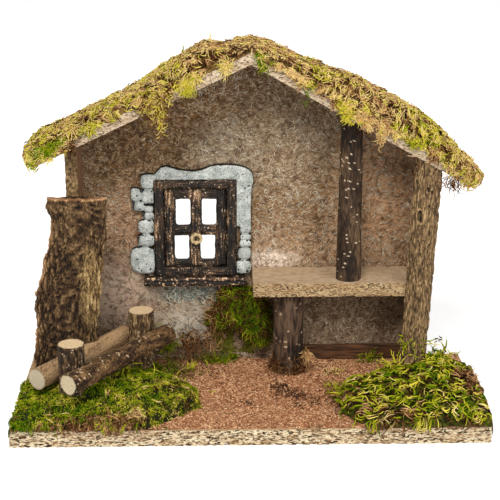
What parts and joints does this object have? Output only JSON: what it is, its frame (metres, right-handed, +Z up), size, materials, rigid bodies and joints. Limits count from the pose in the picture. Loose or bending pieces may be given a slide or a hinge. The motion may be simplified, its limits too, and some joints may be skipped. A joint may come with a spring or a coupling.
{
  "type": "nativity stable",
  "caption": "Open-fronted chipboard stable on a board, with a mossy gable roof, a loft on rustic trunks, a cast window, cork bark, a rail fence and moss beds.",
  "frame": {"origin": "middle of the base board's underside", "axes": "+X to the right as the open front is seen, +Y from the open front to the back wall, +Z up"},
  "size_m": [0.45, 0.18, 0.362],
  "materials": {
    "chipboard": "raw pale chipboard with coarse speckled chips on its cut edges",
    "sand": "glued reddish-brown sand, matte and grainy",
    "wall_paint": "brown wood-wool paint with whitish fibre flecks, matte",
    "dark_bark": "thin dark bark with pale spots",
    "grey_bark": "grey-brown cracked bark",
    "cork": "deeply furrowed cork bark",
    "dark_timber": "dark stained wood, matte",
    "window_timber": "cast wood grain painted dark brown with rubbed warm highlights",
    "window_stone": "cast stones and plaster painted pale grey with dark joints",
    "ring_metal": "old gold paint on a cast ring",
    "floor_moss": "dried green moss, soft and stranded",
    "roof_moss": "dried yellow-green and straw-coloured moss"
  },
  "bodies": {
    "root": {"base_board": "chipboard", "sand_floor": "sand", "back_wall": "wall_paint", "left_side_panel": "chipboard", "right_side_panel": "chipboard", "left_roof_board": "chipboard", "right_roof_board": "chipboard", "loft_floor": "chipboard", "roof_trunk": "dark_bark", "loft_trunk": "grey_bark", "right_bark_post": "grey_bark", "cork_slab": "cork", "wall_batten": "dark_timber", "window_frame": "window_timber", "window_sash": "window_timber", "window_sill": "window_timber", "ring_handle": "ring_metal", "window_surround": "window_stone", "front_fence_post": "dark_bark", "rear_fence_post": "dark_bark", "front_fence_rail": "dark_bark", "rear_fence_rail": "grey_bark", "left_moss_bed": "floor_moss", "right_moss_bed": "floor_moss", "wall_moss": "floor_moss", "left_roof_moss": "roof_moss", "right_roof_moss": "roof_moss"}
  },
  "joints": []
}
